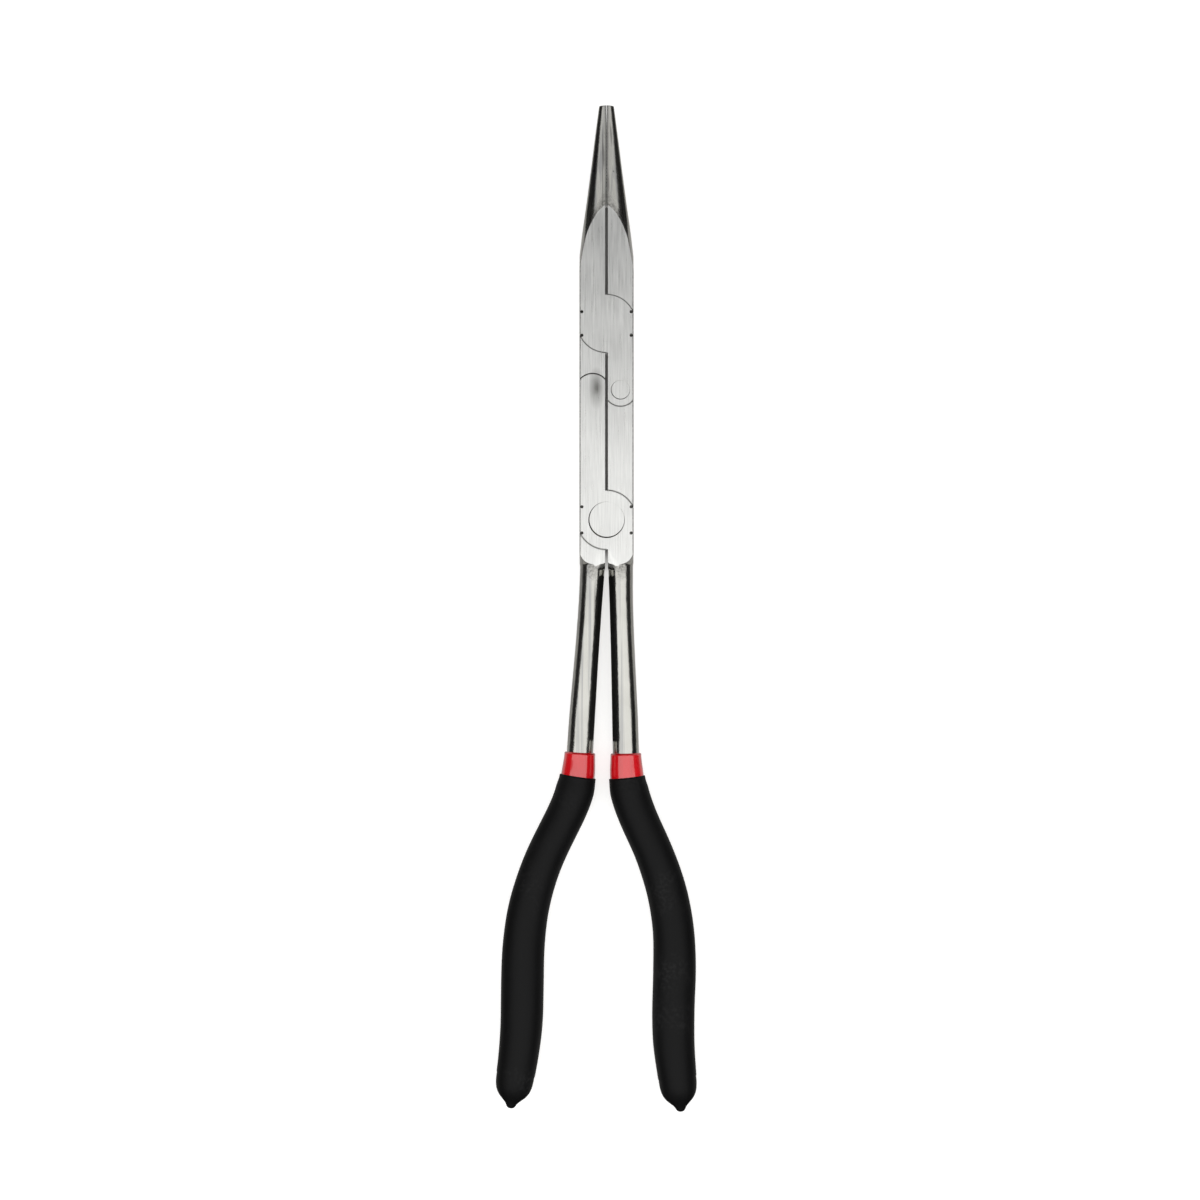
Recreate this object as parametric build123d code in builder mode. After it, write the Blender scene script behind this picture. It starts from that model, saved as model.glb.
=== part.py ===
"""Long-reach needle-nose pliers with a compound joint.

Two handle levers cross at the handle pivot and two jaw levers cross at the jaw pivot. Each handle
lever's arm is riveted to the tail of a jaw lever, so the four levers form a kite-shaped linkage:
squeezing the handles pushes the tails together and closes the jaws.

Frame: +Y runs from the grips to the jaw tips, +X to the right, +Z up out of the head's front face.
The origin is on the handle pivot's axis, in the head's back face. Sizes are in millimetres and
degrees. The pliers are modelled closed.
"""

import os
from math import sqrt

from build123d import *

# Head: a flat bar split down the middle by a slot, with half-thickness laps at every pivot
head_width = 18.2
head_thickness = 10.0
head_edge_radius = 0.5
slot_width = 1.0
handle_lap_overhang = 0.8
jaw_lap_overhang = 0.6
link_lap_overhang = 1.1

# Pivots along the tool's axis
jaw_pivot_y = 66.2
link_pivot_y = 43.8
link_inset = 0.1

# Running gaps
lap_gap = 0.1
shoulder_gap = 0.2
loose_shoulder_gap = 0.35
shoulder_clearance = 0.3
rivet_gap = 0.06
loose_rivet_gap = 0.28

# Rivets: a straight shank between two countersunk heads that are ground flush
pivot_shank_radius = 4.0
pivot_head_radius = 6.0
link_shank_radius = 2.1
link_head_radius = 3.1
rivet_head_land = 0.8
rivet_head_bevel = 0.2
hole_mouth_bevel = 0.08

# Corner reliefs: small pockets at the ends of each lap shoulder, just inside it and the head's sides
relief_radius = 0.55
relief_inset = 0.8
relief_step = 0.5
relief_depth = 1.4

# Jaws: an oval taper, cut by the head's flats, with toothed gripping faces
jaw_tip_y = 140.2
jaw_slot_end_y = 106.0
bite_gap = 0.12
tip_edge_radius = 0.45
tooth_pitch = 1.2
tooth_depth = 0.28
tooth_count = 23
tooth_start_inset = 1.2

# Oval sections of the closed pair of jaws: share of the way from root to tip, half width, half thickness
jaw_sections = [
    (0.00, 11.00, 14.00),
    (0.15, 9.50, 13.00),
    (0.30, 8.40, 8.80),
    (0.37, 7.80, 6.70),
    (0.41, 7.43, 5.75),
    (0.45, 7.05, 5.10),
    (0.50, 6.62, 4.65),
    (0.55, 6.20, 4.33),
    (0.65, 5.35, 3.70),
    (0.83, 3.90, 2.75),
    (1.00, 2.50, 1.95),
]

# Handles: the centreline of the right one; the left one is its mirror image
shoulder_end_y = -17.0
shoulder_waist_y = -15.0
shoulder_waist_inset = 1.5
shank_overlap = 1.6
shoulder_sink = 0.2
shank_inset = 0.05
shank_end = (7.75, -78.0)
bend_start = (8.85, -90.0)
bend_middle = (17.2, -110.5)
palm_top = (24.6, -135.0)
palm_middle = (25.7, -152.0)
palm_bottom = (25.9, -175.0)
handle_end = (28.6, -197.3)
handle_lean = 1.14

# Steel core of a handle: share of the way along it, half width, half thickness
shoulder_overhang = 0.7
shoulder_half_thickness = 11.5
waist_half_width = 5.75
waist_half_thickness = 5.06
core_sections = [
    (0.00, 4.20, 4.90),
    (0.07, 3.95, 4.60),
    (0.16, 4.05, 4.40),
    (0.28, 4.40, 4.35),
    (0.40, 4.50, 4.20),
    (0.50, 4.35, 4.10),
    (0.62, 4.70, 4.10),
    (0.74, 5.15, 4.20),
    (0.86, 5.10, 4.20),
    (0.97, 4.30, 3.90),
]
core_end = 0.97

# Dipped coats: a red one over the handle, and a black one over all of the red but its top.
# Starts and ends are shares of the way along the handle.
sleeve_start = 0.342
sleeve_end = 0.985
sleeve_edge_wall = 0.75
sleeve_wall = 1.25
sleeve_end_radius = 3.0
grip_start = 0.386
grip_edge_wall = 0.45
grip_wall = 0.95
grip_end_taper = 3.6
grip_end_inset = 4.3
coat_run_in = 0.03
handle_stations = 20
core_end_radius = 1.5
nipple_radius = 1.8
nipple_length = 2.4
nipple_end_radius = 1.1

half_head = head_width / 2
middle_z = head_thickness / 2
arm_width = (head_width - slot_width) / 2
arm_centre = (head_width + slot_width) / 4
link_offset = arm_centre - link_inset
handle_lap_radius = half_head + handle_lap_overhang
jaw_lap_radius = half_head + jaw_lap_overhang
link_lap_radius = arm_width / 2 + link_lap_overhang
jaw_root_y = jaw_pivot_y + jaw_lap_radius + shoulder_gap + shoulder_clearance
shoulder_start_y = -(handle_lap_radius + shoulder_gap + shoulder_clearance)
shoulder_half_width = arm_width / 2 + shoulder_overhang
shank_root_x = arm_centre - shank_inset
reach = 2 * jaw_tip_y
BACK, FRONT = -1, 1
LEFT, RIGHT = -1, 1
link_places = {side: (side * link_offset, link_pivot_y) for side in (LEFT, RIGHT)}


def half_layers(layer):
    """Start height and depth of a lever's own half of the head, then of the half it leaves to others."""
    step = middle_z + layer * lap_gap / 2
    below = (0, step)
    above = (step, head_thickness - step)
    return (below, above) if layer == BACK else (above, below)


def arm_outline(side, pivot_y):
    """Half-width bar from a pivot to its link eye, whose end is an arc about the link pivot."""
    towards = 1 if link_pivot_y > pivot_y else -1
    inner = side * slot_width / 2
    outer = side * half_head
    centre = side * link_offset
    inner_y = link_pivot_y + towards * sqrt(link_lap_radius**2 - (centre - inner) ** 2)
    outer_y = link_pivot_y + towards * sqrt(link_lap_radius**2 - (outer - centre) ** 2)
    with BuildSketch() as outline:
        with BuildLine():
            Polyline((inner, inner_y), (inner, pivot_y), (outer, pivot_y), (outer, outer_y))
            ThreePointArc(
                (outer, outer_y),
                (centre, link_pivot_y + towards * link_lap_radius),
                (inner, inner_y),
            )
        make_face()
    return outline.sketch


def lever_head(layer, main_side, pivot_y, lap_radius, main_end_y, link_gap):
    """The flat head of one lever: its lap disc, its arm to the link, and the bar on its main side.

    The lever's own half keeps the disc and the link eye. The other half is cut back by round
    shoulders, so that the crossing lever's disc and the linked lever's eye can turn there.
    """
    arm = arm_outline(-main_side, pivot_y)
    (own_z, own_depth), (other_z, other_depth) = half_layers(layer)
    bar_length = abs(main_end_y - pivot_y)
    bar_place = (main_side * arm_centre, (main_end_y + pivot_y) / 2)
    with BuildPart() as head:
        with BuildSketch(Plane.XY.offset(own_z)):
            add(arm)
            with Locations(bar_place):
                Rectangle(arm_width, bar_length)
            with Locations((0, pivot_y)):
                Circle(lap_radius)
            with Locations((0, pivot_y)):
                Rectangle(head_width, reach, mode=Mode.INTERSECT)
        extrude(amount=own_depth)
        with BuildSketch(Plane.XY.offset(other_z)):
            add(arm)
            with Locations(bar_place):
                Rectangle(arm_width, bar_length)
            with Locations((0, pivot_y)):
                Circle(lap_radius + shoulder_gap, mode=Mode.SUBTRACT)
            with Locations(link_places[-main_side]):
                Circle(link_lap_radius + link_gap, mode=Mode.SUBTRACT)
        extrude(amount=other_depth)
        add(head_bar, mode=Mode.INTERSECT)
    return head.part


def turned_rivet(place, shank_radius, head_radius, rim):
    """A rivet's shape about its pivot. Its rim is bevelled inwards, or a hole's mouth outwards."""
    x, y = place
    top = head_thickness
    cone_end = rivet_head_land + head_radius - shank_radius
    with BuildPart() as body:
        with BuildSketch(Plane.XZ.offset(-y)):
            with BuildLine():
                Polyline(
                    (x, 0),
                    (x + head_radius + rim, 0),
                    (x + head_radius, rivet_head_bevel),
                    (x + head_radius, rivet_head_land),
                    (x + shank_radius, cone_end),
                    (x + shank_radius, top - cone_end),
                    (x + head_radius, top - rivet_head_land),
                    (x + head_radius, top - rivet_head_bevel),
                    (x + head_radius + rim, top),
                    (x, top),
                    close=True,
                )
            make_face()
        revolve(axis=Axis((x, y, 0), (0, 0, 1)))
    return body.part


def pivot_hole(place, gap):
    """Countersunk hole for a pivot rivet, larger than it by a radial gap."""
    shank, head = pivot_shank_radius + gap, pivot_head_radius + gap
    return turned_rivet(place, shank, head, hole_mouth_bevel)


def link_hole(side, gap):
    """Countersunk hole for a link rivet, larger than it by a radial gap."""
    shank, head = link_shank_radius + gap, link_head_radius + gap
    return turned_rivet(link_places[side], shank, head, hole_mouth_bevel)


def corner_reliefs(pivot_y, lap_radius):
    """Shallow round pockets in both faces, just short of where a lap shoulder meets the sides."""
    x = half_head - relief_inset
    y = sqrt((lap_radius - relief_step) ** 2 - x**2)
    with BuildPart() as pockets:
        for level in (0, head_thickness - relief_depth):
            with BuildSketch(Plane.XY.offset(level)):
                with Locations((0, pivot_y)):
                    with GridLocations(2 * x, 2 * y, 2, 2):
                        Circle(relief_radius)
            extrude(amount=relief_depth)
    return pockets.part


def handle_centreline(side):
    """The handle's line from the head's shoulder to its end, leaned about the shoulder."""
    route = [
        (shank_root_x, shoulder_end_y + shank_overlap),
        shank_end,
        bend_start,
        bend_middle,
        palm_top,
        palm_middle,
        palm_bottom,
        handle_end,
    ]
    with BuildLine() as line:
        Spline(*[(side * x, y) for x, y in route], tangents=[(side * 0.03, -1), (side * 0.12, -1)])
    return line.edge().rotate(Axis((0, shoulder_end_y, 0), (0, 0, 1)), -handle_lean)


def core_size(share):
    """Half width and half thickness of the steel core at a share of the way along the handle."""
    share = min(share, core_sections[-1][0])
    after = next(i for i, section in enumerate(core_sections) if section[0] >= share)
    low, high = core_sections[max(after - 1, 0)], core_sections[after]
    mix = (share - low[0]) / (high[0] - low[0]) if after else 0
    return [low[i] + mix * (high[i] - low[i]) for i in (1, 2)]


def handle_loft(side, start, end, edge_wall, wall):
    """A solid through ovals set square across the handle's line, between two shares of its length.

    The ovals are the steel core's, grown by a wall. The wall starts at edge_wall and is full a short
    run further on.
    """
    line = handle_centreline(side)
    even = [i / handle_stations for i in range(handle_stations + 1)]
    full = start + coat_run_in
    inside = [share for share in even if full + coat_run_in / 2 < share < end - coat_run_in / 2]
    with BuildPart() as body:
        for share in [start, full, *inside, end]:
            ahead = line % share
            place = line @ share + Vector(0, 0, middle_z)
            grow = edge_wall if share == start else wall
            half_width, half_thickness = core_size(share)
            with BuildSketch(Plane(origin=place, x_dir=(-ahead.Y, ahead.X, 0), z_dir=ahead)):
                Ellipse(half_width + grow, half_thickness + grow)
        loft()
    return body.part


def rounded_end(body, radius):
    """The dipped body with the rim of its lower end rounded."""
    with BuildPart() as rounded:
        add(body)
        end_face = rounded.faces().sort_by(Axis.Y)[0]
        fillet(end_face.edges(), radius)
    return rounded.part


with BuildPart() as head_bar_part:
    with BuildSketch(Plane.XZ.offset(-reach / 2)):
        with Locations((0, middle_z)):
            RectangleRounded(head_width, head_thickness, head_edge_radius)
    extrude(amount=reach, both=True)
head_bar = head_bar_part.part


def handle_lever(side, layer, pivot_gap, link_gap):
    """One handle lever: flat head with its lap and arm, round shoulder, shank and hidden core."""
    core = rounded_end(handle_loft(side, 0, core_end, 0, 0), core_end_radius)
    shank_half_width, shank_half_thickness = core_size(0)
    head = lever_head(layer, side, 0, handle_lap_radius, shoulder_start_y, link_gap)
    with BuildPart() as lever:
        with BuildSketch(Plane.XZ.offset(-shoulder_start_y)):
            with Locations((side * shank_root_x, middle_z)):
                Ellipse(shoulder_half_width, shoulder_half_thickness)
        with BuildSketch(Plane.XZ.offset(-shoulder_waist_y)):
            with Locations((side * (arm_centre - shoulder_waist_inset), middle_z)):
                Ellipse(waist_half_width, waist_half_thickness)
        with BuildSketch(Plane.XZ.offset(-shoulder_end_y)):
            with Locations((side * shank_root_x, middle_z)):
                Ellipse(shank_half_width - shoulder_sink, shank_half_thickness - shoulder_sink)
        loft(ruled=True)
        add(head_bar, mode=Mode.INTERSECT)
        with Locations((side * (slot_width - head_width) / 2, shoulder_end_y / 2, middle_z)):
            Box(head_width, -shoulder_end_y, head_thickness, mode=Mode.SUBTRACT)
        add(head)
        add(core)
        add(corner_reliefs(0, handle_lap_radius), mode=Mode.SUBTRACT)
        add(pivot_hole((0, 0), pivot_gap), mode=Mode.SUBTRACT)
        add(link_hole(-side, 0), mode=Mode.SUBTRACT)
    return lever.part


def tooth_grooves():
    """Square bars standing on their edges across both gripping faces, which cut V grooves."""
    first_y = jaw_tip_y - tooth_start_inset - (tooth_count - 1) * tooth_pitch
    side_length = sqrt(2) * (tooth_depth + bite_gap / 2)
    with BuildPart() as grooves:
        with BuildSketch():
            with Locations([(0, first_y + i * tooth_pitch) for i in range(tooth_count)]):
                Rectangle(side_length, side_length, rotation=45)
        extrude(amount=head_thickness)
    return grooves.part


def jaw_lever(side, layer, pivot_gap, link_gap, link_rivet_play):
    """One jaw lever: half of the oval taper, flat root, lap and tail."""
    head = lever_head(layer, side, jaw_pivot_y, jaw_lap_radius, jaw_root_y, link_gap)
    taper = jaw_tip_y - jaw_root_y
    with BuildPart() as lever:
        for share, half_width, half_thickness in jaw_sections:
            with BuildSketch(Plane.XZ.offset(-jaw_root_y - share * taper)):
                with Locations((0, middle_z)):
                    Ellipse(half_width, half_thickness)
        loft(ruled=True)
        tip_face = lever.faces().sort_by(Axis.Y)[-1]
        fillet(tip_face.edges(), tip_edge_radius)
        add(head_bar, mode=Mode.INTERSECT)
        keep = Keep.TOP if side == RIGHT else Keep.BOTTOM
        split(bisect_by=Plane.YZ.offset(side * bite_gap / 2), keep=keep)
        with BuildSketch():
            with Locations((0, (jaw_root_y + jaw_slot_end_y) / 2)):
                SlotOverall(
                    jaw_slot_end_y - jaw_root_y + slot_width, slot_width, rotation=90
                )
        extrude(amount=head_thickness, mode=Mode.SUBTRACT)
        add(tooth_grooves(), mode=Mode.SUBTRACT)
        add(head)
        add(corner_reliefs(jaw_pivot_y, jaw_lap_radius), mode=Mode.SUBTRACT)
        add(pivot_hole((0, jaw_pivot_y), pivot_gap), mode=Mode.SUBTRACT)
        add(link_hole(-side, link_rivet_play), mode=Mode.SUBTRACT)
    return lever.part


def sleeve(side):
    """The red coat as a solid body, core included."""
    body = handle_loft(side, sleeve_start, sleeve_end, sleeve_edge_wall, sleeve_wall)
    return rounded_end(body, sleeve_end_radius)


def grip(side):
    """The black coat as a solid body, red coat and core included, with the drip at its end."""
    edge = sleeve_wall + grip_edge_wall
    body = handle_loft(side, grip_start, 1, edge, sleeve_wall + grip_wall)
    line = handle_centreline(side)
    end = Plane(origin=line @ 1 + Vector(0, 0, middle_z), z_dir=line % 1)
    with BuildPart() as dipped:
        add(body)
        end_face = dipped.faces().sort_by(Axis.Y)[0]
        chamfer(end_face.edges(), grip_end_taper, grip_end_inset, reference=end_face)
        with BuildSketch(end.offset(-nipple_radius)):
            Circle(nipple_radius)
        extrude(amount=nipple_radius + nipple_length)
        drip_end = dipped.faces().sort_by(Axis.Y)[0]
        fillet(drip_end.edges(), nipple_end_radius)
    return dipped.part


# Steel levers. Left handle and right jaw keep the back half at their laps, the other two the front.
with BuildPart() as left_handle_lever:
    add(handle_lever(LEFT, BACK, 0, shoulder_gap))

with BuildPart() as right_handle_lever:
    add(handle_lever(RIGHT, FRONT, rivet_gap, loose_shoulder_gap))

with BuildPart() as left_jaw_lever:
    add(jaw_lever(LEFT, FRONT, 0, shoulder_gap, rivet_gap))

with BuildPart() as right_jaw_lever:
    add(jaw_lever(RIGHT, BACK, rivet_gap, loose_shoulder_gap, loose_rivet_gap))

# Rivets
with BuildPart() as handle_pivot_rivet:
    add(turned_rivet((0, 0), pivot_shank_radius, pivot_head_radius, -rivet_head_bevel))

with BuildPart() as jaw_pivot_rivet:
    add(turned_rivet((0, jaw_pivot_y), pivot_shank_radius, pivot_head_radius, -rivet_head_bevel))

with BuildPart() as left_link_rivet:
    add(turned_rivet(link_places[LEFT], link_shank_radius, link_head_radius, -rivet_head_bevel))

with BuildPart() as right_link_rivet:
    add(turned_rivet(link_places[RIGHT], link_shank_radius, link_head_radius, -rivet_head_bevel))

# Dipped coats
with BuildPart() as left_red_sleeve:
    add(sleeve(LEFT))
    add(left_handle_lever.part, mode=Mode.SUBTRACT)

with BuildPart() as right_red_sleeve:
    add(sleeve(RIGHT))
    add(right_handle_lever.part, mode=Mode.SUBTRACT)

with BuildPart() as left_grip:
    add(grip(LEFT))
    add(sleeve(LEFT), mode=Mode.SUBTRACT)

with BuildPart() as right_grip:
    add(grip(RIGHT))
    add(sleeve(RIGHT), mode=Mode.SUBTRACT)

pieces = {
    "left_handle_lever": left_handle_lever,
    "right_handle_lever": right_handle_lever,
    "left_jaw_lever": left_jaw_lever,
    "right_jaw_lever": right_jaw_lever,
    "handle_pivot_rivet": handle_pivot_rivet,
    "jaw_pivot_rivet": jaw_pivot_rivet,
    "left_link_rivet": left_link_rivet,
    "right_link_rivet": right_link_rivet,
    "left_red_sleeve": left_red_sleeve,
    "right_red_sleeve": right_red_sleeve,
    "left_grip": left_grip,
    "right_grip": right_grip,
}

os.makedirs("parts", exist_ok=True)
for name, piece in pieces.items():
    piece.part.label = name
    export_step(piece.part, f"parts/{name}.step")
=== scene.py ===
import math

import bmesh
import bpy
import numpy as np
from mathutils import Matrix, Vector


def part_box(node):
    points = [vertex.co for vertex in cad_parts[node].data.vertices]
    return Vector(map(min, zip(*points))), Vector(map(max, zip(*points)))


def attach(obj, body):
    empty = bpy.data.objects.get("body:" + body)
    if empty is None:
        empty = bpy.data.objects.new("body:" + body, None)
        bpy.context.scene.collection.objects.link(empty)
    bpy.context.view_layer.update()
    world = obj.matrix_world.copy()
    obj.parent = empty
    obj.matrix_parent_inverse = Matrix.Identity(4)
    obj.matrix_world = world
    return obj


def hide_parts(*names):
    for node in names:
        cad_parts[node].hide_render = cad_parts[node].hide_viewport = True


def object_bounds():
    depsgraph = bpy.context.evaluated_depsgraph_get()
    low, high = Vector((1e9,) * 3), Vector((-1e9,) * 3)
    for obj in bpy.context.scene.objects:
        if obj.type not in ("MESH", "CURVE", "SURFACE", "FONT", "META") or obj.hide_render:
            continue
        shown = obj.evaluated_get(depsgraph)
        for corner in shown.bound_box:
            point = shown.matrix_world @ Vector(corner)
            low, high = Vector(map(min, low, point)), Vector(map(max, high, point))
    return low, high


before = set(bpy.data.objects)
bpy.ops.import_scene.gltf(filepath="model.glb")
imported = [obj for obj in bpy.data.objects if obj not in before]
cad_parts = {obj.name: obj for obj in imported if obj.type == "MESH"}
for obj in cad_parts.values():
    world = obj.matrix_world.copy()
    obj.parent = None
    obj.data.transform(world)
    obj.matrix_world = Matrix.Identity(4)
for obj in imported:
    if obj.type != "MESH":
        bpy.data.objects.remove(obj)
cad_box = [list(corner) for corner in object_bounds()]
millimetre = 0.001

# ---------------------------------------------------------------------------------------------
# Camera. A long lens straight above the tool, level with its flats, with the jaw tips at the top.
# ---------------------------------------------------------------------------------------------
lens = 100.0
sensor = 36.0
view_width = 0.4044
head_back, head_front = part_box("handle_pivot_rivet")[0].z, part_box("handle_pivot_rivet")[1].z
head_middle = (head_back + head_front) / 2

camera_data = bpy.data.cameras.new("camera")
camera_data.lens = lens
camera_data.sensor_width = sensor
camera_data.clip_end = 20
camera = bpy.data.objects.new("camera", camera_data)
camera.location = (-0.0022, -0.0270, head_front + view_width * lens / sensor)
bpy.context.scene.collection.objects.link(camera)
bpy.context.scene.camera = camera

# ---------------------------------------------------------------------------------------------
# Studio. A plain white table that glows a little by itself, under two wide soft lights, over the
# handles and past the jaws, with a painted shadow under the head. Only shiny steel sees the rest:
# black cards at both sides and below, a grey strip, and a black flag between the shanks.
# ---------------------------------------------------------------------------------------------
scene = bpy.context.scene
scene.view_settings.view_transform = "Standard"
scene.view_settings.look = "None"

world = bpy.data.worlds.new("room")
scene.world = world
world.use_nodes = True
world.node_tree.nodes["Background"].inputs["Color"].default_value = (0.97, 0.98, 1.0, 1)
world.node_tree.nodes["Background"].inputs["Strength"].default_value = 0.25


class Paint:
    """A material being put together from nodes that read places on the object."""

    def __init__(self, name):
        self.material = bpy.data.materials.new(name)
        self.material.use_nodes = True
        self.tree = self.material.node_tree
        self.shader = self.tree.nodes["Principled BSDF"]
        self.place = self.node("ShaderNodeTexCoord").outputs["Object"]
        axes = self.node("ShaderNodeSeparateXYZ", {"Vector": self.place}).outputs
        self.x, self.y, self.z = axes["X"], axes["Y"], axes["Z"]

    def fill(self, node, sockets):
        """Links each named socket to a source, or sets it to a value."""
        for key, value in sockets.items():
            if isinstance(value, bpy.types.NodeSocket):
                self.tree.links.new(value, node.inputs[key])
            else:
                node.inputs[key].default_value = value

    def node(self, kind, sockets=None, **settings):
        made = self.tree.nodes.new(kind)
        for key, value in settings.items():
            setattr(made, key, value)
        self.fill(made, sockets or {})
        return made

    def sum(self, operation, *values):
        """One step of arithmetic."""
        return self.node("ShaderNodeMath", dict(enumerate(values)), operation=operation).outputs[0]

    def times(self, first, *others):
        """All the values multiplied together."""
        for other in others:
            first = self.sum("MULTIPLY", first, other)
        return first

    def most(self, *values):
        """The larger of two values."""
        return self.sum("MAXIMUM", *values)

    def less(self, value, taken):
        return self.sum("SUBTRACT", value, taken)

    def apart(self, value, centre=0.0):
        """How far a value is from a centre, whichever side it is on."""
        return self.sum("ABSOLUTE", self.less(value, centre))

    def distance(self, over, up):
        """How far a place is from a point that it is over and up from."""
        return self.sum("SQRT", self.sum("ADD", self.times(over, over), self.times(up, up)))

    def spread(self, value, low, high, to_low, to_high):
        """The value moved from one range to another, and held inside it."""
        return self.node("ShaderNodeMapRange", {"Value": value, "From Min": low, "From Max": high,
                                                "To Min": to_low, "To Max": to_high}).outputs[0]

    def noise(self, scale, detail, along=1.0):
        """Noise over the object, drawn out along Y where along is below one."""
        spot = self.node("ShaderNodeMapping", {"Vector": self.place, "Scale": (1.0, along, 1.0)}).outputs[0]
        texture = self.node("ShaderNodeTexNoise", {"Vector": spot, "Scale": scale, "Detail": detail})
        return texture.outputs["Fac"]

    def tint(self, value, low, low_colour, high, high_colour):
        """A colour that runs from one to another as the value goes from low to high."""
        ramp = self.node("ShaderNodeValToRGB", {"Fac": value})
        for stop, place, colour in zip(ramp.color_ramp.elements, (low, high), (low_colour, high_colour)):
            stop.position, stop.color = place, (*colour, 1)
        return ramp.outputs["Color"]

    def mixed(self, share, first, second):
        return self.node("ShaderNodeMix", {0: share, 2: first, 3: second}).outputs[0]

    def mixed_colour(self, share, first, second, blend="MIX"):
        return self.node("ShaderNodeMix", {0: share, 6: first, 7: second}, data_type="RGBA",
                         blend_type=blend).outputs[2]

    def bumped(self, height, strength, distance):
        bump = self.node("ShaderNodeBump", {"Height": height, "Strength": strength, "Distance": distance})
        return bump.outputs[0]


def flat_sheet(name, corners, colour, glow=0.0, paint=None):
    """A flat four-cornered sheet in a matt colour, which may glow a little by itself."""
    mesh = bpy.data.meshes.new(name)
    mesh.from_pydata(corners, [], [(0, 1, 2, 3)])
    paint = paint or Paint(name + "_paint")
    paint.fill(paint.shader, {"Base Color": colour, "Roughness": 0.8,
                              "Emission Color": (1, 0.99, 0.97, 1), "Emission Strength": glow})
    mesh.materials.append(paint.material)
    sheet = bpy.data.objects.new(name, mesh)
    scene.collection.objects.link(sheet)
    return sheet


def level_strip(near_half, far_half, near_y, far_y, z):
    """Corners of a level strip about the tool's axis, as wide as given at its two ends."""
    return [(-near_half, near_y, z), (near_half, near_y, z), (far_half, far_y, z), (-far_half, far_y, z)]


def seen_in_gloss_only(sheet):
    """Lets a sheet show in reflections but not to the camera, in soft light or as a shadow."""
    sheet.visible_camera = False
    sheet.visible_diffuse = False
    sheet.visible_shadow = False


def shade_under_head(paint):
    """Painted shadow: one in a soft-edged patch below the head, narrower below the jaws, and nought
    elsewhere.
    """
    half_width = paint.spread(paint.y, 0.085, 0.140, 0.0070, 0.0020)
    share = paint.sum("DIVIDE", paint.apart(paint.x), half_width)
    across = paint.spread(share, 0.3, 1.0, 1.0, 0.0)
    return paint.times(across, paint.spread(paint.y, -0.018, -0.010, 0.0, 1.0),
                       paint.spread(paint.y, 0.134, 0.140, 1.0, 0.0))


table_half = 3.0
table_z = cad_box[0][2] - 0.0002
table_white, table_shadow_grey, table_glow = 0.5, 0.25, 0.6
# the table is greyed and loses its glow in a patch under the head: a painted shadow that keeps the slot dark
table_paint = Paint("table_paint")
shade = shade_under_head(table_paint)
table = flat_sheet("table", level_strip(table_half, table_half, -table_half, table_half, table_z),
                   table_paint.spread(shade, 0.0, 1.0, table_white, table_shadow_grey),
                   table_paint.spread(shade, 0.0, 1.0, table_glow, 0.0), table_paint)
table.visible_glossy = False

soot = (0.01, 0.01, 0.01, 1)
card_reach, card_low, card_high, card_half = 0.42, -0.001, 0.27, 0.6
gloss_sheets = [
    ("black_underlay", level_strip(table_half, table_half, -table_half, table_half, table_z - 0.002), 0.0),
    ("grey_underlay", level_strip(0.060, 0.014, -0.20, 0.16, table_z - 0.001), 0.5),
    ("black_flag", [(0, -0.075, table_z), (0, -0.019, table_z), (0, -0.019, 0.011), (0, -0.075, 0.012)], 0.0),
]
for side, hand in ((-1, "left"), (1, "right")):
    x = side * card_reach
    gloss_sheets.append((f"black_card_{hand}", [(x, -card_half, card_low), (x, card_half, card_low),
                                                (x, card_half, card_high), (x, -card_half, card_high)], 0.0))
for sheet_name, corners, glow in gloss_sheets:
    seen_in_gloss_only(flat_sheet(sheet_name, corners, soot, glow))


def soft_light(name, low, high, z, radiance, in_gloss=True):
    """A rectangular light that faces down, between two (x, y) corners, as bright all over as radiance."""
    data = bpy.data.lights.new(name, "AREA")
    data.shape = "RECTANGLE"
    data.size, data.size_y = high[0] - low[0], high[1] - low[1]
    data.energy = radiance * math.pi * data.size * data.size_y
    light = bpy.data.objects.new(name, data)
    light.location = ((low[0] + high[0]) / 2, (low[1] + high[1]) / 2, z)
    light.visible_camera = False
    light.visible_glossy = in_gloss
    scene.collection.objects.link(light)


soft_light("handle_panel", (-1.2, -0.80), (1.2, 0.10), 0.80, 1.36)
soft_light("jaw_panel", (-1.2, 0.32), (1.2, 1.20), 0.80, 0.75)
soft_light("table_wash", (-1.5, -1.50), (1.5, 1.50), 1.60, 0.95, in_gloss=False)

# ---------------------------------------------------------------------------------------------
# Steel levers. Drop-forged chrome-vanadium levers: the head and its laps are ground flat along the
# tool, the round shanks and the oval jaw taper are polished. They cross and turn on rivets.
# ---------------------------------------------------------------------------------------------
edge_rounding = 0.10 * millimetre
sharp_from = math.radians(28)


def finished_copy(node, name):
    """The lever's CAD form with its triangles joined into whole faces and its edges rounded off."""
    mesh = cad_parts[node].data.copy()
    mesh.name = name
    work = bmesh.new()
    work.from_mesh(mesh)
    bmesh.ops.remove_doubles(work, verts=work.verts, dist=1e-6)
    for edge in work.edges:
        edge.smooth = not edge.is_manifold or edge.calc_face_angle(0) < sharp_from
    for face in work.faces:
        face.smooth = True
    work.to_mesh(mesh)
    work.free()
    mesh.materials.clear()
    piece = bpy.data.objects.new(name, mesh)
    scene.collection.objects.link(piece)
    return piece


# rings where one lever's round lap turns in another: the pivot's x and y, and the radius, in millimetres
joint_rings = [(0.0, 0.0, 10.0), (0.0, 66.2, 9.8), (-4.7, 43.8, 5.5), (4.7, 43.8, 5.5)]
# corner pockets by the big pivots: the pivot's y, and how far off it they are across and along
corner_pockets = [(0.0, 8.3, 4.41), (66.2, 8.3, 3.97)]
pocket_radius = 0.62 * millimetre
dark_patch_place, dark_patch_half_size = (-3.3, 44.4), (2.4, 6.0)

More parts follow.
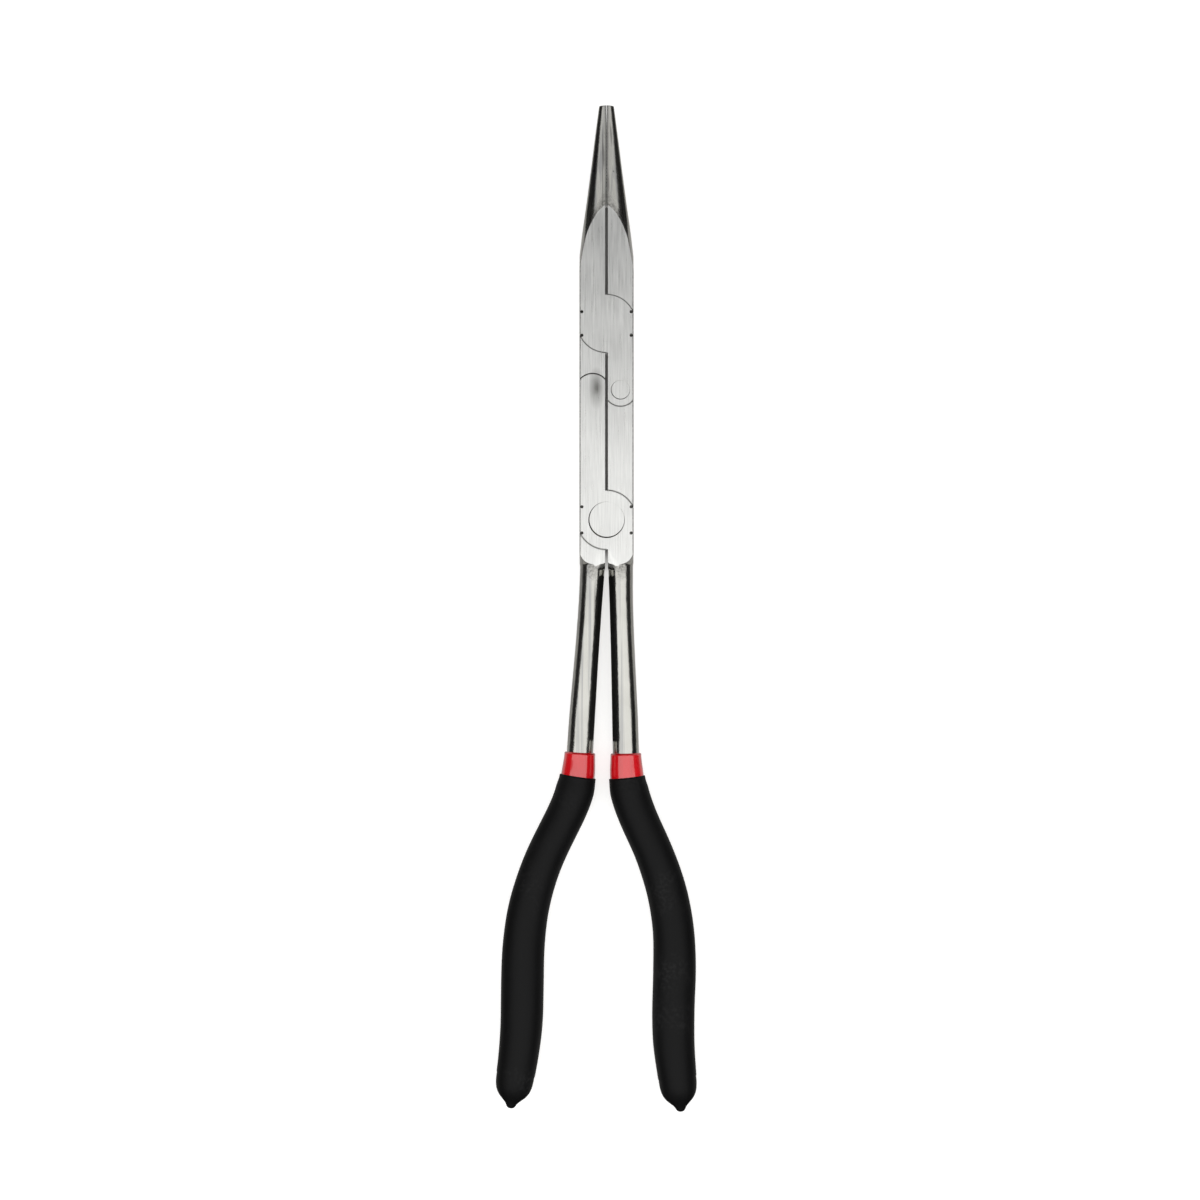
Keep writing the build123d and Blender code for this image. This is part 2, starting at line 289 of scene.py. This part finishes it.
# noise patterns: scale, detail, and how drawn out along the tool
grinding, draw_marks, dark_streaks = (2600, 4, 0.03), (900, 2, 0.012), (520, 1, 0.02)
clouding, mottling, patch_noise = (70, 3), (1500, 5), (330, 3, 0.5)
pit_scale = 130.0

dark_mottle, light_mottle = (0.11, 0.107, 0.10), (0.46, 0.45, 0.42)
streak_colour, pit_colour = (0.16, 0.155, 0.145, 1), (0.05, 0.047, 0.043, 1)
seam_shade_colour, dark_mark_colour = (0.10, 0.097, 0.09, 1), (0.09, 0.088, 0.08, 1)
recess_shade_colour, rubbed_steel = (0.02, 0.019, 0.018, 1), (0.74, 0.73, 0.71, 1)


def lap_seam_shade(paint, rise):
    """How much painted shade lies along the round lap joints: one in a ring, nought elsewhere.

    At the big pivots the ring shows in the two quarters where x and y have the same sign, seen on the
    front. At the small ones it shows above the left pivot and below the right one. On the back the
    signs are the other way round, so each test is multiplied by the height above the middle.
    """
    total = 0.0
    for centre_x, centre_y, radius in joint_rings:
        over = paint.less(paint.x, centre_x * millimetre)
        up = paint.less(paint.y, centre_y * millimetre)
        off = paint.apart(paint.distance(over, up), radius * millimetre)
        ring = paint.spread(off, 0.12 * millimetre, 0.42 * millimetre, 1.0, 0.0)
        turn = over if centre_x == 0 else -math.copysign(1, centre_x)
        gate = paint.sum("GREATER_THAN", paint.times(up, turn, rise), 0.0)
        if centre_x:
            gate = paint.times(gate, paint.sum("GREATER_THAN", paint.times(paint.x, centre_x), 0.0))
        total = paint.most(total, paint.times(ring, gate))
    return total


def pocket_shade(paint):
    """One inside the corner pockets by the big pivots, which get painted shade, and nought elsewhere."""
    total = 0.0
    for pivot_y, pocket_x, pocket_y in corner_pockets:
        over = paint.less(paint.apart(paint.x), pocket_x * millimetre)
        up = paint.less(paint.apart(paint.y, pivot_y * millimetre), pocket_y * millimetre)
        total = paint.most(total, paint.sum("LESS_THAN", paint.distance(over, up), pocket_radius))
    return total


def parting_shade(paint, flat):
    """Painted shade in the parting between the jaws, and a fine line of painted shade beside it on the
    left jaw, where a narrow ground facet runs.
    """
    past_flats = paint.times(paint.less(1.0, flat), paint.spread(paint.y, 0.100, 0.106, 0.0, 1.0))
    parting = paint.spread(paint.apart(paint.x), 0.0002, 0.0008, 0.8, 0.0)
    facet_line = paint.spread(paint.apart(paint.x, -0.00125), 0.00010, 0.0003, 0.55, 0.0)
    facet_line = paint.times(facet_line, paint.spread(paint.y, 0.130, 0.134, 1.0, 0.0))
    return paint.times(paint.most(parting, facet_line), past_flats)


def dark_patch(paint, lines):
    """A soft dark patch over the left small pivot, broken up by the grinding lines and a noise."""
    over, up = [paint.sum("DIVIDE", paint.less(axis, middle * millimetre), half * millimetre)
                for axis, middle, half in zip((paint.x, paint.y), dark_patch_place, dark_patch_half_size)]
    patch_mask = paint.times(paint.spread(paint.distance(over, up), 0.1, 1.25, 0.88, 0.0),
                         paint.spread(lines, 0.2, 0.6, 0.7, 1.0))
    return paint.times(patch_mask, paint.spread(paint.noise(*patch_noise), 0.35, 0.6, 0.7, 1.0))


def steel(name, base, brushed):
    """Steel that is ground lengthwise on its flats and polished where it is round.

    The flats are where the height is within a hair of the head's faces. Fine grinding lines are noise
    drawn out along Y. Round stretches keep long draw marks, a few dark streaks and rare pits, and are
    mottled where the grinding runs out. Edges are rubbed bright. Painted shade darkens the lap joints,
    the slot's walls, the corner pockets and the jaws' parting, and a soft dark patch lies over the left
    small pivot.
    """
    paint = Paint(name)
    rise = paint.less(paint.z, head_middle)
    half = head_front - head_middle
    away = paint.apart(rise)
    flat = paint.spread(away, half * 0.985, half * 0.998, 0.0, 1.0)
    run_out = paint.times(paint.spread(away, half * 0.86, half * 0.97, 0.0, 1.0),
                          paint.spread(paint.y, -0.021, -0.017, 0.0, 1.0))
    normal = paint.node("ShaderNodeNewGeometry").outputs["Normal"]
    upright = paint.node("ShaderNodeSeparateXYZ", {"Vector": normal}).outputs["Z"]
    sideways = paint.spread(paint.apart(upright), 0.3, 0.6, 1.0, 0.0)

    lines, drawn, streaks = paint.noise(*grinding), paint.noise(*draw_marks), paint.noise(*dark_streaks)
    cloud, mottle = paint.noise(*clouding), paint.noise(*mottling)
    cells = paint.node("ShaderNodeTexVoronoi", {"Vector": paint.place, "Scale": pit_scale})

    # the flats' fine light and dark lines, and the round stretches with their streaks, pits and mottling
    ground = paint.tint(lines, 0.30, [c * 0.86 for c in base], 0.68, [c * 1.07 for c in base])
    bright_draw = [c * share for c, share in zip(base, (0.70, 0.69, 0.66))]
    polish = paint.tint(drawn, 0.33, [c * 0.50 for c in base], 0.52, bright_draw)
    polish = paint.mixed_colour(paint.spread(streaks, 0.64, 0.70, 0.0, 0.6), polish, streak_colour)
    pitted = paint.spread(cells.outputs["Distance"], 0.03, 0.06, 0.85, 0.0)
    polish = paint.mixed_colour(pitted, polish, pit_colour)
    rough_patch = paint.tint(mottle, 0.38, dark_mottle, 0.62, light_mottle)
    round_colour = paint.mixed_colour(paint.times(run_out, 0.75), polish, rough_patch)
    colour = paint.mixed_colour(flat, round_colour, ground)
    colour = paint.mixed_colour(1.0, colour, paint.spread(cloud, 0.3, 0.7, 0.93, 1.05), "MULTIPLY")

    # painted shade in the ring joints, the slot's walls, the pockets and the parting, and a soft dark patch
    # painted shade along the lap seams, which also roughens them a little
    seam_shade_mask = lap_seam_shade(paint, rise)
    colour = paint.mixed_colour(paint.times(seam_shade_mask, 0.5), colour, seam_shade_colour)
    # painted shade, near black, on the slot's walls and in the corner pockets
    slot_wall = paint.times(sideways, paint.spread(paint.apart(paint.x), 0.00055, 0.0007, 1.0, 0.0))
    inside = paint.times(paint.most(slot_wall, pocket_shade(paint)), paint.less(1.0, flat))
    colour = paint.mixed_colour(paint.times(inside, 0.92), colour, recess_shade_colour)
    # painted shade in the jaws' parting and along a ground facet on the left jaw
    colour = paint.mixed_colour(parting_shade(paint, flat), colour, dark_mark_colour)
    colour = paint.mixed_colour(dark_patch(paint, lines), colour, dark_mark_colour)

    # edges, where a normal taken over a small radius leans away from the face's own
    soft_normal = paint.node("ShaderNodeBevel", {"Radius": 0.00016}, samples=4).outputs[0]
    facing = paint.node("ShaderNodeVectorMath", {0: soft_normal, 1: normal}, operation="DOT_PRODUCT")
    worn = paint.times(paint.spread(facing.outputs["Value"], 0.80, 0.97, 1.0, 0.0),
                       paint.spread(cloud, 0.45, 0.6, 0.2, 0.8))
    colour = paint.mixed_colour(worn, colour, rubbed_steel)

    grain = paint.spread(lines, 0.0, 1.0, brushed - 0.06, brushed + 0.10)
    gloss = paint.mixed(run_out, paint.spread(drawn, 0.0, 1.0, 0.14, 0.26), 0.42)
    rough = paint.sum("ADD", paint.mixed(flat, gloss, grain), paint.times(seam_shade_mask, 0.25))
    height = paint.mixed(flat, paint.mixed(run_out, drawn, mottle), lines)
    paint.fill(paint.shader, {"Base Color": colour, "Roughness": rough, "Metallic": 1.0,
                              "Normal": paint.bumped(height, 0.35, 0.00003)})
    return paint.material


levers = {
    "left_handle_lever": "left_handle",
    "right_handle_lever": "right_handle",
    "left_jaw_lever": "left_jaw",
    "right_jaw_lever": "right_jaw",
}
lever_steel = steel("ground_and_polished_steel", (0.66, 0.66, 0.64), 0.28)
for node_name, body in levers.items():
    lever = finished_copy(node_name, node_name.replace("_lever", "_forging"))
    lever.data.materials.append(lever_steel)
    rounding = lever.modifiers.new("edge_rounding", "BEVEL")
    rounding.width = edge_rounding
    rounding.segments = 2
    rounding.limit_method = "ANGLE"
    rounding.angle_limit = sharp_from
    rounding.use_clamp_overlap = True
    rounding.harden_normals = True
    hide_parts(node_name)
    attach(lever, body)

# ---------------------------------------------------------------------------------------------
# Rivets. Turned steel rivets, peened into countersinks and ground flush on both faces. The two that
# run in the lever in front keep part of a ring round their heads; grinding has closed the others.
# ---------------------------------------------------------------------------------------------
around = 96
peened_rim = 0.11 * millimetre
ring_depth = 0.4 * millimetre
ring_turn = math.radians(60)


def ring_surface(name, rings):
    """A closed surface through rings of points, shape (rings, points, 3), its ends drawn to a point.

    The first and the last ring are poles: only their mean point is used, as the centre of a fan.
    """
    count = rings.shape[1]
    body = rings[1:-1].reshape(-1, 3)
    points = np.vstack([body, rings[0].mean(0), rings[-1].mean(0)])
    rows = np.arange(len(rings) - 3)[:, None] * count
    here = np.arange(count)[None, :]
    ahead = (here + 1) % count
    walls = np.stack([rows + here, rows + ahead, rows + count + ahead, rows + count + here], -1)
    ends = np.arange(count)
    after = (ends + 1) % count
    last = (len(rings) - 3) * count
    first_fan = np.stack([after, ends, np.full(count, len(body))], -1)
    last_fan = np.stack([last + ends, last + after, np.full(count, len(body) + 1)], -1)
    faces = walls.reshape(-1, 4).tolist() + first_fan.tolist() + last_fan.tolist()
    mesh = bpy.data.meshes.new(name)
    mesh.from_pydata(points.tolist(), [], faces)
    mesh.shade_smooth()
    piece = bpy.data.objects.new(name, mesh)
    scene.collection.objects.link(piece)
    return piece


def rivet(name, node, shank_radius, head_radius, open_ring):
    """A rivet as a profile turned about its axis: flat head, rim, cone, shank, and the same again.

    The rim is peened out by a hair. Where its ring shows, it is cut back instead, most on one side:
    the cut goes as half of one minus the cosine of the angle from the side where the ring is closed.
    """
    low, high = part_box(node)
    centre = (low + high) / 2
    half = (high.z - low.z) / 2
    turn = np.linspace(0, 2 * np.pi, around, endpoint=False)
    shown = 0.5 - 0.5 * np.cos(turn - ring_turn)
    rim = head_radius + peened_rim - (peened_rim + open_ring) * shown * (open_ring > 0)
    land = 0.8 * millimetre
    cone = land + head_radius - shank_radius
    profile = [(share * rim, half) for share in (0.0, 0.35, 0.7, 0.9, 0.97, 1.0)]
    profile += [(head_radius + 0 * rim, half - ring_depth), (head_radius + 0 * rim, half - land),
                (shank_radius + 0 * rim, half - cone)]
    upper = [np.stack([centre.x + r * np.cos(turn), centre.y + r * np.sin(turn),
                       centre.z + h * np.ones(around)], -1) for r, h in profile]
    lower = [ring * (1, 1, -1) + (0, 0, 2 * centre.z) for ring in upper]
    pin = ring_surface(name, np.array(lower + upper[::-1]))
    for polygon in pin.data.polygons:
        polygon.use_smooth = abs(polygon.normal.z) < 0.9
    return pin


rivet_steel = steel("ground_rivet_steel", (0.66, 0.66, 0.64), 0.28)
pivot_shank, pivot_head = 4.0 * millimetre, 6.0 * millimetre
link_shank, link_head = 2.1 * millimetre, 3.1 * millimetre
rivets = [
    ("handle_pivot_rivet", "left_handle", pivot_shank, pivot_head, 0.38),
    ("jaw_pivot_rivet", "left_jaw", pivot_shank, pivot_head, 0.0),
    ("left_link_rivet", "right_handle", link_shank, link_head, 0.0),
    ("right_link_rivet", "left_handle", link_shank, link_head, 0.14),
]
for node_name, body, shank, head, open_ring in rivets:
    pin = rivet(node_name.replace("_rivet", "_pin"), node_name, shank, head, open_ring * millimetre)
    pin.data.materials.append(rivet_steel)
    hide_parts(node_name)
    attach(pin, body)

# ---------------------------------------------------------------------------------------------
# Red sleeves. The handles are dipped once in glossy red vinyl, which cures to a coat just over a
# millimetre thick. Only a collar of it shows, because the black coat covers the rest.
# ---------------------------------------------------------------------------------------------
route = np.array([(4.75, -15.4), (7.75, -78.0), (8.85, -90.0), (17.2, -110.5), (24.6, -135.0),
                  (25.7, -152.0), (25.9, -175.0), (28.6, -197.3)])
route_start, route_end = np.array((0.03, -1.0)), np.array((0.12, -1.0))
lean_point, lean = np.array((0.0, -17.0)), math.radians(-1.14)
handle_length = 184.4
core_table = np.array([(0.00, 4.20, 4.90), (0.07, 3.95, 4.60), (0.16, 4.05, 4.40), (0.28, 4.40, 4.35),
                       (0.40, 4.50, 4.20), (0.50, 4.35, 4.10), (0.62, 4.70, 4.10), (0.74, 5.15, 4.20),
                       (0.86, 5.10, 4.20), (0.97, 4.30, 3.90), (1.00, 4.30, 3.90)])


def handle_line(side, shares, beyond):
    """Points and directions along a handle's centreline, at shares of its length.

    The line is a cubic curve through the route's points, with given end directions, spaced by the
    distances between them. Points past its end, by beyond millimetres, run straight on.
    """
    knots = np.concatenate([[0], np.cumsum(np.linalg.norm(np.diff(route, axis=0), axis=1))])
    gaps = np.diff(knots)[:, None]
    slopes = np.diff(route, axis=0) / gaps
    system = np.eye(len(route))
    right = np.zeros((len(route), 2))
    right[0] = route_start / np.linalg.norm(route_start)
    right[-1] = route_end / np.linalg.norm(route_end)
    for i in range(1, len(route) - 1):
        system[i, i - 1:i + 2] = (gaps[i, 0], 2 * (gaps[i - 1, 0] + gaps[i, 0]), gaps[i - 1, 0])
        right[i] = 3 * (gaps[i] * slopes[i - 1] + gaps[i - 1] * slopes[i])
    tangents = np.linalg.solve(system, right)
    fine = np.linspace(0, knots[-1], 4001)
    span = np.clip(np.searchsorted(knots, fine, side="right") - 1, 0, len(gaps) - 1)
    t = ((fine - knots[span]) / gaps[span, 0])[:, None]
    line = ((1 + 2 * t) * (1 - t) ** 2 * route[span] + t * (1 - t) ** 2 * gaps[span] * tangents[span]
            + t ** 2 * (3 - 2 * t) * route[span + 1] - t ** 2 * (1 - t) * gaps[span] * tangents[span + 1])
    line[:, 0] *= side
    turned = line - lean_point
    line = lean_point + np.stack([turned[:, 0] * math.cos(lean) - turned[:, 1] * math.sin(lean),
                                  turned[:, 0] * math.sin(lean) + turned[:, 1] * math.cos(lean)], -1)
    run = np.concatenate([[0], np.cumsum(np.linalg.norm(np.diff(line, axis=0), axis=1))])
    along = np.gradient(line, run, axis=0)
    at = shares * run[-1]
    place = np.stack([np.interp(at, run, line[:, i]) for i in (0, 1)], -1)
    ahead = np.stack([np.interp(at, run, along[:, i]) for i in (0, 1)], -1)
    ahead /= np.linalg.norm(ahead, axis=1, keepdims=True)
    return place + ahead * beyond[:, None], ahead


def core_sizes(shares):
    """Half width and half thickness of the steel core: straight steps in the table, then smoothed."""
    nearby = [np.clip(shares + offset, 0, 1) for offset in np.linspace(-0.03, 0.03, 7)]
    return [np.mean([np.interp(share, core_table[:, 0], core_table[:, column]) for share in nearby], axis=0)
            for column in (1, 2)]


def coat(name, side, start, full, edge, wall, inner, lip, tail, ripple):
    """A dipped coat as one closed skin of ovals set square across the handle's line.

    The skin runs from a pole at the tail, up the outside, round the lip at the start and back down
    the inside. Outside, each oval is the core's plus a wall, which eases from edge to full thickness.
    The tail is a table of millimetres past the handle's end and radii, smoothed. A ripple, a few low
    sine waves in the angle and the distance, keeps the outside from looking machined.
    """
    steps = np.linspace(0, len(tail) - 1, 64)
    smooth = [np.interp(steps, np.arange(len(tail)), [row[i] for row in tail]) for i in (0, 1)]
    for _ in range(2):
        smooth = [np.concatenate([row[:1], np.convolve(row, np.ones(5) / 5, "valid"), row[-1:]])
                  for row in smooth]
    tail_beyond, tail_radius = smooth
    tail_start = 1 + tail_beyond[-1] / handle_length

    body = np.linspace(tail_start, full, 190)[1:-1]
    run_in = full + (start - full) * np.linspace(0, 0.97, 14)
    bend = np.linspace(0, np.pi / 2, 8)
    lip_shares = start + lip * (1 - np.sin(bend)) / handle_length
    inside = np.linspace(start + 0.002, tail_start, 60)
    ease = 0.5 - 0.5 * np.cos(np.pi * (run_in - start) / (full - start))
    shares = np.concatenate([body, run_in, lip_shares, inside])
    walls = np.concatenate([np.full(len(body), wall), edge + (wall - edge) * ease,
                            inner + (edge - inner) * np.cos(bend), np.full(len(inside), inner)])
    width, thickness = core_sizes(shares)
    end_ratio = (core_table[-1, 2] + wall) / (core_table[-1, 1] + wall)

    all_shares = np.concatenate([1 + np.minimum(tail_beyond, 0) / handle_length, shares, [tail_start]])
    all_beyond = np.concatenate([np.maximum(tail_beyond, 0), np.zeros(len(shares) + 1)])
    across = np.concatenate([tail_radius, width + walls, [0.0]])
    tall = np.concatenate([tail_radius * end_ratio, thickness + walls, [0.0]])
    outside = np.concatenate([np.clip(tail_radius / tail_radius.max() - 0.4, 0, 1), np.ones(len(body)),
                              np.linspace(1, 0, len(run_in)),
                              np.zeros(len(lip_shares) + len(inside) + 1)])

    place, ahead = handle_line(side, all_shares, all_beyond)
    turn = np.linspace(0, 2 * np.pi, around, endpoint=False)
    distance = (all_shares * handle_length)[:, None]
    wave = ripple * outside[:, None] * (np.sin(0.23 * distance + 2 * turn + side)
                                        + np.sin(0.11 * distance - turn)
                                        + 0.6 * np.sin(0.41 * distance + 3 * turn) - 2.6)
    sideways = np.stack([-ahead[:, 1], ahead[:, 0]], -1)
    level = place[:, None, :] + ((across[:, None] + wave) * np.cos(turn))[..., None] * sideways[:, None, :]
    height = head_middle / millimetre + (tall[:, None] + wave) * np.sin(turn)
    return ring_surface(name, np.concatenate([level, height[..., None]], -1) * millimetre)


def vinyl(name, base, scuffed, roughness, gloss, clear, grain, grain_depth):
    """Dipped vinyl: an even colour with slow cloudy shifts, faint runs, rubbed patches and a fine skin."""
    paint = Paint(name)
    cloud = paint.noise(45, 4)
    runs = paint.noise(420, 2, 0.06)
    skin = paint.noise(grain, 3)
    colour = paint.tint(cloud, 0.3, [c * 0.80 for c in base], 0.75, [min(1, c * 1.2) for c in base])
    run_colour = [c * 0.5 for c in base] + [1]
    colour = paint.mixed_colour(paint.spread(runs, 0.5, 0.75, 0.0, 0.25), colour, run_colour)
    patch_mask = paint.times(paint.spread(cloud, 0.55, 0.70, 0.0, 0.7), paint.spread(skin, 0.45, 0.65, 0.0, 1.0))
    colour = paint.mixed_colour(patch_mask, colour, (*scuffed, 1))
    rough = paint.spread(paint.sum("ADD", cloud, paint.times(patch_mask, 0.3)), 0.2, 0.9,
                         roughness - 0.06, roughness + 0.09)
    height = paint.sum("ADD", skin, paint.times(runs, 0.4))
    paint.fill(paint.shader, {"Base Color": colour, "Roughness": rough, "Specular IOR Level": gloss,
                              "Coat Weight": clear, "Coat Roughness": 0.07, "Coat IOR": 1.6,
                              "Normal": paint.bumped(height, 0.4, grain_depth)})
    return paint.material


sleeve_wall = 1.22
sleeve_tail = [(-2.9, 0.0), (-2.95, 1.4), (-3.2, 3.0), (-3.9, 4.3), (-4.9, 5.0), (-6.2, 5.4), (-8.0, 5.5)]
red_vinyl = vinyl("glossy_red_vinyl", (0.44, 0.0015, 0.005), (0.50, 0.01, 0.015), roughness=0.18,
                  gloss=0.5, clear=1.0, grain=1500, grain_depth=0.00001)
for side, hand in ((-1, "left"), (1, "right")):
    sleeve = coat(f"{hand}_red_coat", side, start=0.342, full=0.386, edge=0.75, wall=sleeve_wall,
                  inner=0.01, lip=0.5, tail=sleeve_tail, ripple=0.0)
    sleeve.data.materials.append(red_vinyl)
    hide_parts(f"{hand}_red_sleeve")
    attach(sleeve, f"{hand}_handle")

# ---------------------------------------------------------------------------------------------
# Black grips. A second dip in black vinyl leaves a satin coat with a rounded lip over the red, and
# the last drop to run off as it cures leaves a blunt teat at the tapered end of each handle.
# ---------------------------------------------------------------------------------------------
grip_wall = 0.93
grip_tail = [(2.38, 0.0), (2.34, 0.55), (2.15, 1.05), (1.7, 1.45), (1.1, 1.75), (0.3, 2.25), (-0.8, 3.45),
             (-2.0, 4.70), (-3.4, 5.60), (-5.0, 6.15), (-7.2, 6.42), (-9.0, 6.45)]
black_vinyl = vinyl("satin_black_vinyl", (0.0030, 0.0030, 0.0031), (0.012, 0.012, 0.012), roughness=0.50,
                    gloss=0.12, clear=0.0, grain=900, grain_depth=0.00006)
for side, hand in ((-1, "left"), (1, "right")):
    grip = coat(f"{hand}_black_coat", side, start=0.386, full=0.416, edge=sleeve_wall + 0.45,
                wall=sleeve_wall + grip_wall, inner=sleeve_wall + 0.01, lip=0.45, tail=grip_tail, ripple=0.02)
    grip.data.materials.append(black_vinyl)
    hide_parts(f"{hand}_grip")
    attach(grip, f"{hand}_handle")
